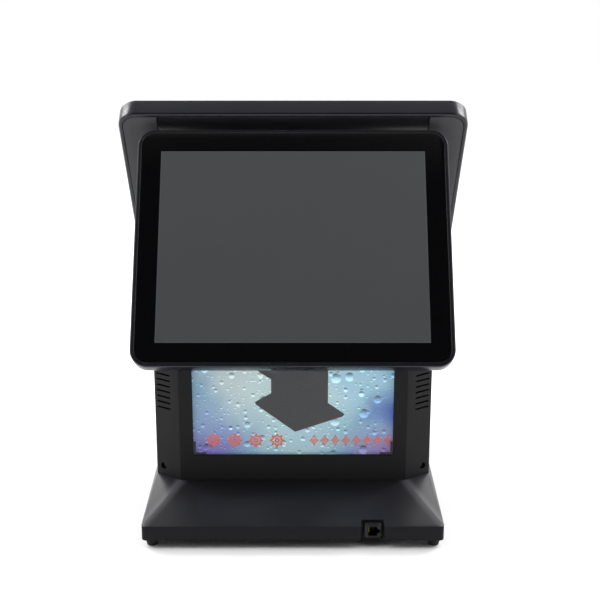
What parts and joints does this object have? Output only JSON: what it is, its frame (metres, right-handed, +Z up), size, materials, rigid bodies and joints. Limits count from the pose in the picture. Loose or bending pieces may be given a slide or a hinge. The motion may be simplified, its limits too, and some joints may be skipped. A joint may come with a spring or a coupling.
{
  "type": "pos touchscreen terminal",
  "caption": "Checkout terminal with an operator touch display, a smaller customer display back to back on a yoke, a lit picture window in the body and a cash drawer jack in the base.",
  "frame": {"origin": "on the table under the middle of the whole terminal's footprint, displays included", "axes": "-Y points to the customer, +Y to the operator, +X to the customer's right, +Z up"},
  "size_m": [0.41, 0.41, 0.469],
  "materials": {
    "shell_black": "fine matt texture",
    "frame_black": "semi-gloss",
    "rear_black": "fine matt texture",
    "plate_black": "smooth gloss",
    "glass_black": "polished, black border printed behind",
    "lcd_grey": "switched-off panel",
    "acrylic": "clear, polished",
    "film_blue": "printed backlight film",
    "white_plastic": "white, diffusing",
    "jack_black": "moulded",
    "rubber_black": "matt",
    "steel": "zinc plated",
    "black_steel": "black coated",
    "aluminium": "extruded",
    "board_green": "solder mask"
  },
  "bodies": {
    "terminal_body": {"base_cover": "shell_black", "base_plate": "black_steel", "foot_front_left": "rubber_black", "foot_front_right": "rubber_black", "foot_rear_left": "rubber_black", "foot_rear_right": "rubber_black", "drawer_jack": "jack_black", "jack_board": "board_green", "body_front_shell": "shell_black", "body_rear_shell": "shell_black", "window_cover": "acrylic", "picture_film": "film_blue", "light_diffuser": "white_plastic", "lightbox_tray": "white_plastic", "led_strip": "board_green", "film_clip_left": "shell_black", "film_clip_right": "shell_black", "shell_screw_left": "black_steel", "shell_screw_right": "black_steel", "chassis": "steel", "mainboard": "board_green", "heat_sink": "aluminium", "storage_drive": "steel", "speaker": "black_steel", "io_plate": "steel", "lan_port": "steel", "usb_port_left": "steel", "usb_port_right": "steel", "dc_inlet": "jack_black", "power_switch": "jack_black", "neck_bracket": "black_steel", "neck_cover_left": "shell_black", "neck_cover_right": "shell_black", "neck_screw_front_left": "steel", "neck_screw_front_right": "steel", "neck_screw_rear_left": "steel", "neck_screw_rear_right": "steel"},
    "customer_display": {"customer_frame": "frame_black", "customer_touch_glass": "glass_black", "customer_lcd_panel": "lcd_grey", "customer_driver_board": "board_green", "customer_rear_cover": "rear_black", "customer_hinge_leaf": "black_steel", "customer_hinge_shaft": "steel", "customer_hinge_nut_left": "steel", "customer_hinge_nut_right": "steel"},
    "main_display": {"main_frame": "frame_black", "main_touch_glass": "glass_black", "main_lcd_panel": "lcd_grey", "main_driver_board": "board_green", "main_rear_cover": "rear_black", "main_hinge_leaf": "black_steel", "main_hinge_shaft": "steel", "main_hinge_nut_left": "steel", "main_hinge_nut_right": "steel", "main_service_plate": "plate_black"},
    "power_button": {"power_button": "jack_black"}
  },
  "joints": [
    {"name": "customer_tilt", "type": "hinge", "parent": "terminal_body", "child": "customer_display", "pos_m": [0, -0.08939, 0.2453], "axis": [1, 0, 0], "range_deg": [0, 12]},
    {"name": "main_tilt", "type": "hinge", "parent": "terminal_body", "child": "main_display", "pos_m": [0, 0.09748, 0.2623], "axis": [-1, 0, 0], "range_deg": [0, 35]},
    {"name": "power_press", "type": "slide", "parent": "terminal_body", "child": "power_button", "axis": [0, -1, 0], "range_m": [0, 0.0012], "stiffness_N_per_m": 1000, "springref_m": -0.001}
  ]
}
